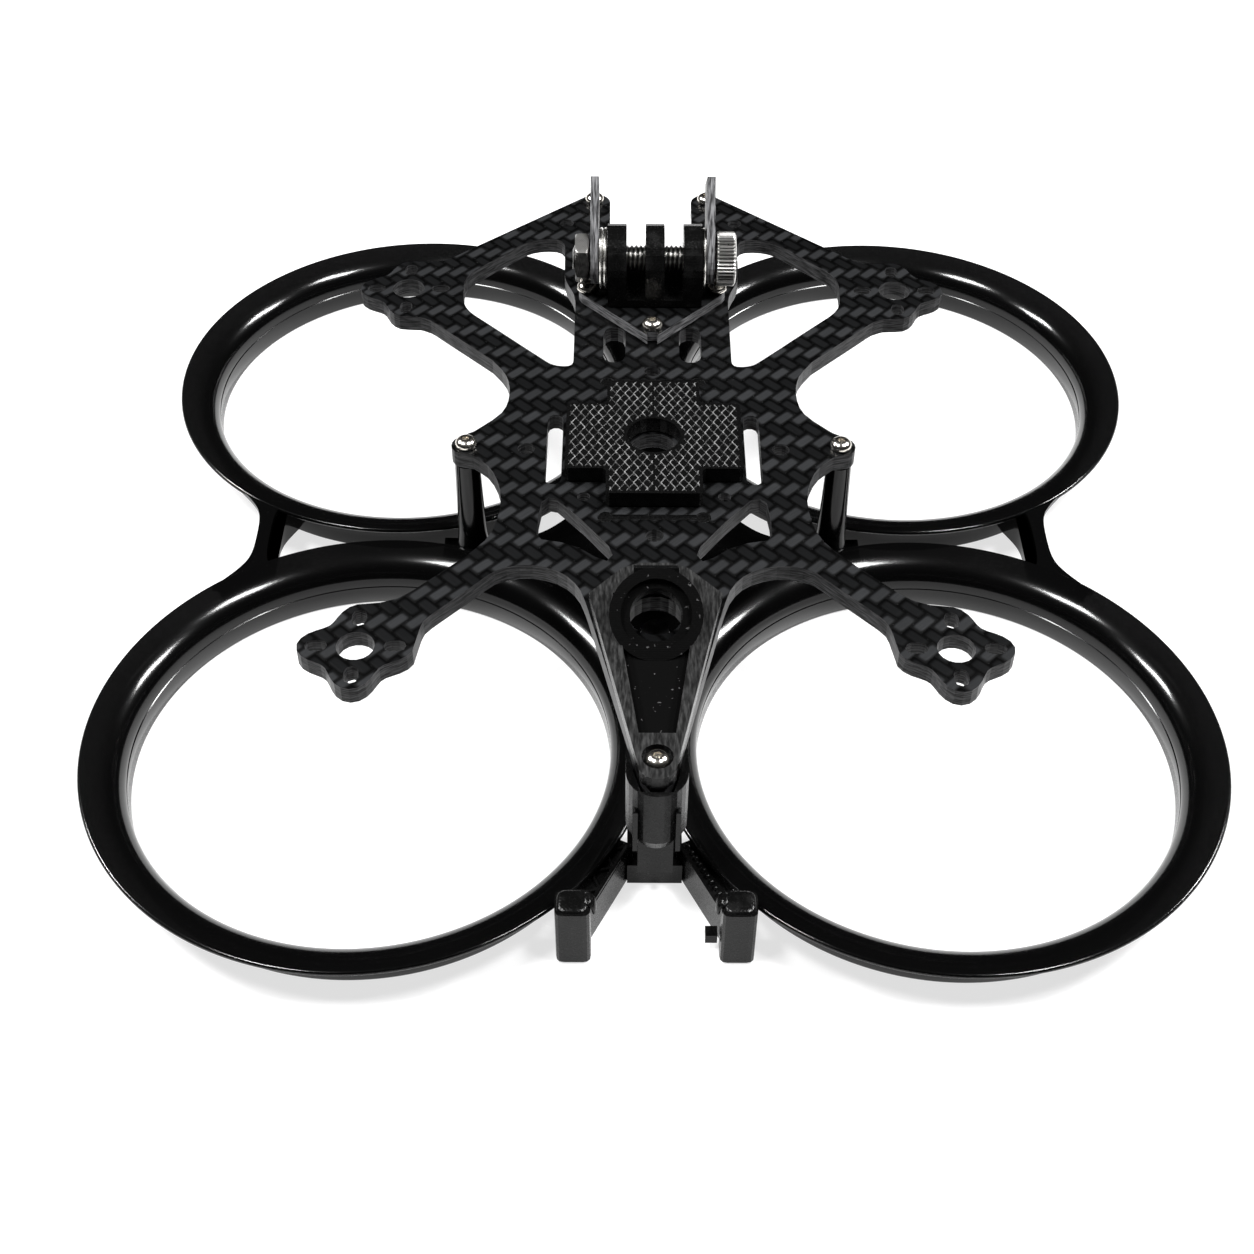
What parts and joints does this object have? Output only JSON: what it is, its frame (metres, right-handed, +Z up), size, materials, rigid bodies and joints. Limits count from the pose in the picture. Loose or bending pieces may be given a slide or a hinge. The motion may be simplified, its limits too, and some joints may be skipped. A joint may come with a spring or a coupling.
{
  "type": "ducted quadcopter frame",
  "caption": "Ducted quadcopter drone frame: carbon top plate over glossy prop ducts, tilting camera mount at the nose, antenna holder and fork at the tail.",
  "frame": {"origin": "centre of the bottom: the duct feet stand on z = 0, with the four duct axes centred on the origin", "axes": "+X right, +Y towards the nose with the camera mount, +Z up"},
  "size_m": [0.1818, 0.1836, 0.0515],
  "materials": {
    "carbon": "satin twill carbon fibre with lighter matt cut edges",
    "duct_plastic": "high gloss, slightly smoked black moulding",
    "soft_mount": "flexible black printed plastic, semi-gloss",
    "pad_rubber": "black rubber with a fine raised mesh on top",
    "steel": "polished steel",
    "standoff_metal": "dark anodised, fine turned surface"
  },
  "bodies": {
    "frame": {"duct_front_left": "duct_plastic", "duct_front_right": "duct_plastic", "duct_rear_left": "duct_plastic", "duct_rear_right": "duct_plastic", "outer_strut_left": "duct_plastic", "outer_strut_right": "duct_plastic", "duct_keel": "duct_plastic", "side_post_left": "duct_plastic", "side_post_right": "duct_plastic", "horn_post_left": "duct_plastic", "horn_post_right": "duct_plastic", "tail_standoff": "standoff_metal", "main_plate": "carbon", "battery_pad": "pad_rubber", "side_screw_left": "steel", "side_screw_right": "steel", "horn_screw_left": "steel", "horn_screw_right": "steel", "mount_screw_left": "steel", "mount_screw_right": "steel", "mount_screw_rear": "steel", "mount_plate": "carbon", "action_camera_mount": "soft_mount", "clamp_nut": "steel", "washer_left_inner": "steel", "washer_left_outer": "steel", "washer_right": "steel", "tail_holder": "soft_mount", "tail_screw": "steel", "tail_post": "soft_mount", "antenna_mount": "soft_mount", "tie_head": "soft_mount"},
    "camera_plate_left": {"side_plate_left": "carbon"},
    "camera_plate_right": {"side_plate_right": "carbon"},
    "clamp_bolt": {"clamp_bolt": "steel"}
  },
  "joints": [
    {"name": "left_plate_tilt", "type": "hinge", "parent": "frame", "child": "camera_plate_left", "pos_m": [-0.0105, 0.0435, 0.0378], "axis": [1, 0, 0], "range_deg": [-50, 40]},
    {"name": "right_plate_tilt", "type": "hinge", "parent": "frame", "child": "camera_plate_right", "pos_m": [0.0105, 0.0435, 0.0378], "axis": [1, 0, 0], "range_deg": [-50, 40]},
    {"name": "clamp_bolt_spin", "type": "hinge", "parent": "frame", "child": "clamp_bolt", "pos_m": [0, 0.0435, 0.0378], "axis": [1, 0, 0], "continuous": true}
  ]
}
